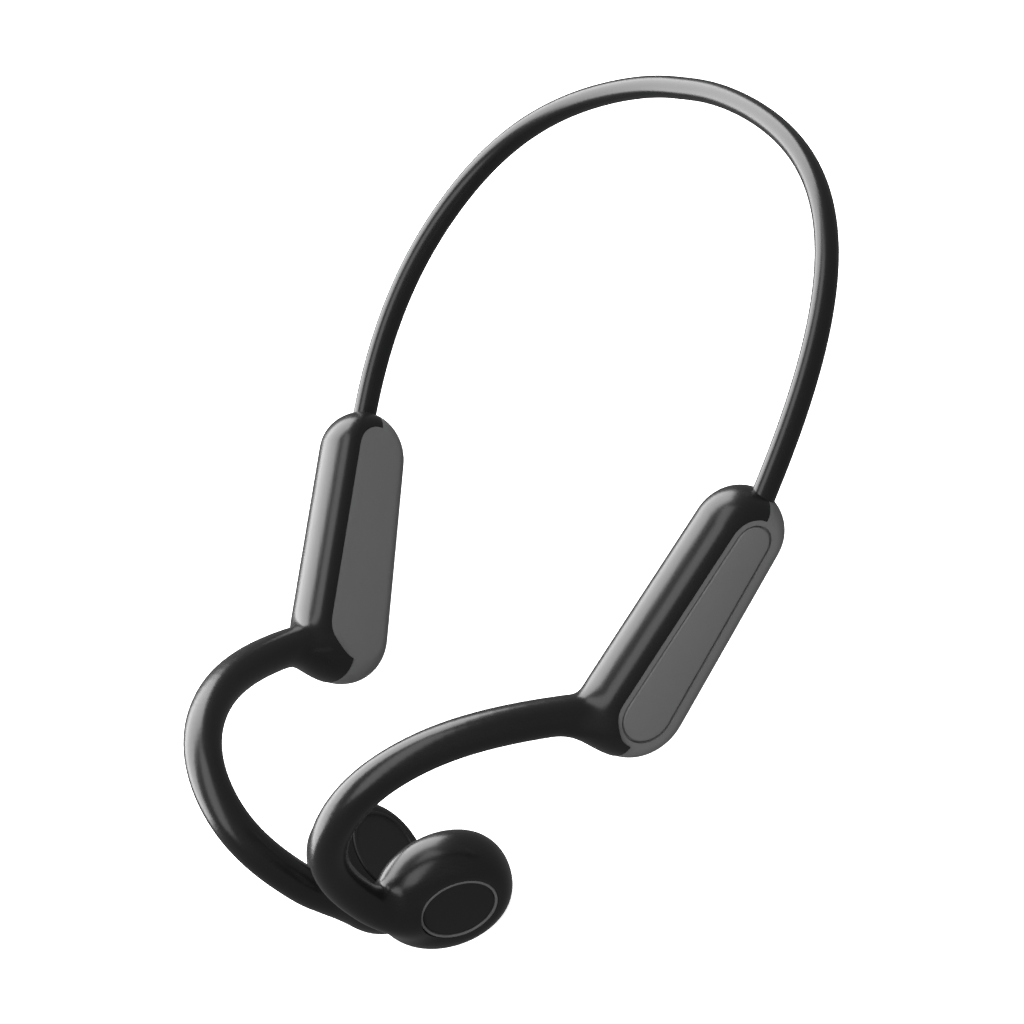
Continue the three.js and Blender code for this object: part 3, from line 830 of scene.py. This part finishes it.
def button_and_ring(side):
    """The ring in the outer mouth, and the left button or the right cap inside it."""
    mirror = side == "right"
    outer = BUTTON_MOUTH_R - SEAM
    inner = outer - RING_WIDTH
    top = MODULE_HALF + PROUD
    section = [(inner, top - RING_DEPTH), (outer, top - RING_DEPTH), (outer, top), (inner, top)]
    trim = make_mesh(f"{side}_ring_trim", *ring_lathe(rounded(section, RING_ROUND, (2, 3))), mirror)
    piece(smooth(trim), f"{side}_side", RING_GREY, "ring_grey", f"{side}_button_ring")
    edge = inner - SEAM
    face = MODULE_HALF - CAP_SUNK
    profile = [(0, face - CAP_DEPTH), (edge, face - CAP_DEPTH), (edge, face), (0, face)]
    shape = lathe(rounded(profile, CAP_ROUND, (2,)))
    if side == "left":
        button = make_mesh("left_button_cap", *shape, mirror)
        piece(smooth(button), "left_button", BUTTON_BLACK, "button_black", "left_button")
    else:
        cap = make_mesh("right_cap_face", *shape, mirror)
        piece(smooth(cap), "right_side", BUTTON_BLACK, "button_black", "right_end_cap")


# ---- Neckband ----
def band_layer(name, shape, material, node):
    """One layer of the neckband in two halves, each running from the band's middle to its own side."""
    for side, sign in (("left", 1), ("right", -1)):
        half = smooth(make_mesh(f"{name}_{side}", *shape, side == "right"))
        paint(half, material)
        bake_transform(half)
        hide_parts(node)


def neckband():
    """The sleeve, with the memory wire over the cable in its bore."""
    line = half_band_line()
    coarse = line[::2]
    bore = (BAND_HALF_HEIGHT - BAND_WALL, BAND_HALF_WIDTH - BAND_WALL)
    sleeve = sweep(line, BAND_HALF_HEIGHT, BAND_HALF_WIDTH, BAND_SIDES, bore=bore)
    wire = sweep(coarse, WIRE_R, WIRE_R, WIRE_SIDES, WIRE_OFFSET)
    cable = sweep(coarse, WIRE_R, WIRE_R, WIRE_SIDES, -WIRE_OFFSET)
    band_layer("neckband_skin", sleeve, SOFT_BLACK, "neckband_sleeve")
    band_layer("memory_wire", wire, TITANIUM, "neckband_memory_wire")
    band_layer("band_cable", cable, COPPER, "neckband_cable")


# ---- Keys and charging contacts, under the right pod ----
def underside():
    """The two keys and the two charging contacts."""
    for name, x in KEY_PLACES.items():
        low = rim_bottom(x) + KEY_RECESS
        bar = upright_bar(KEY_LENGTH, KEY_WIDTH, low, cavity_floor(x) + BAR_ROOT, x, KEY_EDGE)
        key = make_mesh(f"{name}_cap", *bar, True)
        piece(smooth(key), name, KEY_BLACK, "key_black", f"{name}_key")
    for name, x in PIN_PLACES.items():
        low = rim_bottom(x) + KEY_RECESS
        bar = upright_bar(2 * PIN_R + ROUND_BAR, 2 * PIN_R, low, cavity_floor(x) + BAR_ROOT, x, PIN_EDGE)
        pin = make_mesh(f"charge_pin_{name}", *bar, True)
        piece(smooth(pin), "right_side", GOLD, "contact_gold", f"charge_contact_{name}")


# ---- Pieces inside, kept from the CAD model ----
# Each name has a left and a right piece.
INSIDE = {
    "hook_wire": TITANIUM,
    "driver_lead": COPPER,
    "voice_coil": COPPER,
    "driver_spring": STEEL,
    "magnet": STEEL,
    "yoke": STEEL,
    "pad_seal": KEY_BLACK,
}


def inside():
    """Materials for the CAD pieces that stay as they are."""
    for side in ("left", "right"):
        for node, material in INSIDE.items():
            paint(NODES[f"{side}_{node}"], material)
    paint(NODES["left_battery"], FOIL)
    paint(NODES["left_protection_board"], CIRCUIT)
    paint(NODES["left_microphone"], STEEL)
    paint(NODES["left_button_switch"], STEEL)
    paint(NODES["right_circuit_board"], CIRCUIT)


# ---- Stage ----
CAMERA_AZIMUTH = math.radians(82.193)
CAMERA_ELEVATION = math.radians(38.425)
CAMERA_ROLL = math.radians(65.857)
CAMERA_DISTANCE = 1.03
CAMERA_AIM = Vector((-0.00287, -0.00488, 0.00276)) + Vector(SHIFT * MM)
CAMERA_LENS = 200.39
SENSOR = 36
FLOOR_HALF = 3.0
FLOOR_GLOW = 0.8
WORLD_GLOW = 0.18


def camera():
    """The camera at the photograph's viewing angle."""
    data = bpy.data.cameras.new("camera")
    data.lens = CAMERA_LENS
    data.sensor_width = SENSOR
    obj = bpy.data.objects.new("camera", data)
    bpy.context.scene.collection.objects.link(obj)
    level = math.cos(CAMERA_ELEVATION)
    x = math.sin(CAMERA_AZIMUTH) * level
    y = -math.cos(CAMERA_AZIMUTH) * level
    back = Vector((x, y, math.sin(CAMERA_ELEVATION)))
    level_right = Vector((0, 0, 1)).cross(back).normalized()
    level_up = back.cross(level_right)
    up = level_up * math.cos(CAMERA_ROLL) + level_right * math.sin(CAMERA_ROLL)
    right = up.cross(back)
    turn = Matrix((right, up, back)).transposed().to_4x4()
    obj.matrix_world = Matrix.Translation(CAMERA_AIM + back * CAMERA_DISTANCE) @ turn
    bpy.context.scene.camera = obj


def softbox(name, direction, distance, width, height, watts):
    """A rectangular light, in metres and watts, that faces the origin from the given direction."""
    data = bpy.data.lights.new(name, "AREA")
    data.shape = "RECTANGLE"
    data.size, data.size_y = width, height
    data.energy = watts
    obj = bpy.data.objects.new(name, data)
    bpy.context.scene.collection.objects.link(obj)
    place = Vector(direction).normalized() * distance
    obj.location = place
    obj.rotation_mode = "QUATERNION"
    obj.rotation_quaternion = place.to_track_quat("Z", "Y")
    return obj


def stage():
    """A pale floor just under the object, a dim white world, and three softboxes."""
    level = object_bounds()[0][2]
    signs = ((-1, -1), (1, -1), (1, 1), (-1, 1))
    corners = [(x * FLOOR_HALF, y * FLOOR_HALF, level) for x, y in signs]
    mesh = bpy.data.meshes.new("floor")
    mesh.from_pydata(corners, [], [(0, 1, 2, 3)])
    floor = bpy.data.objects.new("floor", mesh)
    bpy.context.scene.collection.objects.link(floor)
    material, nodes, _ = new_material("pale_floor")
    shader = nodes["Principled BSDF"]
    shader.inputs["Base Color"].default_value = (0.9, 0.9, 0.9, 1)
    shader.inputs["Roughness"].default_value = 0.9
    shader.inputs["Emission Color"].default_value = (1, 1, 1, 1)
    shader.inputs["Emission Strength"].default_value = FLOOR_GLOW
    paint(floor, material)
    floor.visible_glossy = False
    floor.visible_diffuse = False
    floor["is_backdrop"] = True
    world = bpy.data.worlds.new("studio")
    world.use_nodes = True
    background = world.node_tree.nodes["Background"]
    background.inputs["Color"].default_value = (1, 1, 1, 1)
    background.inputs["Strength"].default_value = WORLD_GLOW
    bpy.context.scene.world = world
    softbox("far_softbox", (-0.76, 0.20, 0.62), 0.9, 2.8, 1.0, 60)
    softbox("top_softbox", (0.33, 0.02, 0.95), 0.9, 1.7, 0.5, 6)
    fill = softbox("fill", (0.7, -0.25, 0.35), 1.6, 1.4, 1.4, 12)
    fill.visible_glossy = False
    bpy.context.scene.view_settings.view_transform = "Standard"


camera()
build_skins()
for each_side in ("left", "right"):
    pod_covers(each_side)
    contact_pad(each_side)
    button_and_ring(each_side)
neckband()
underside()
inside()
stage()
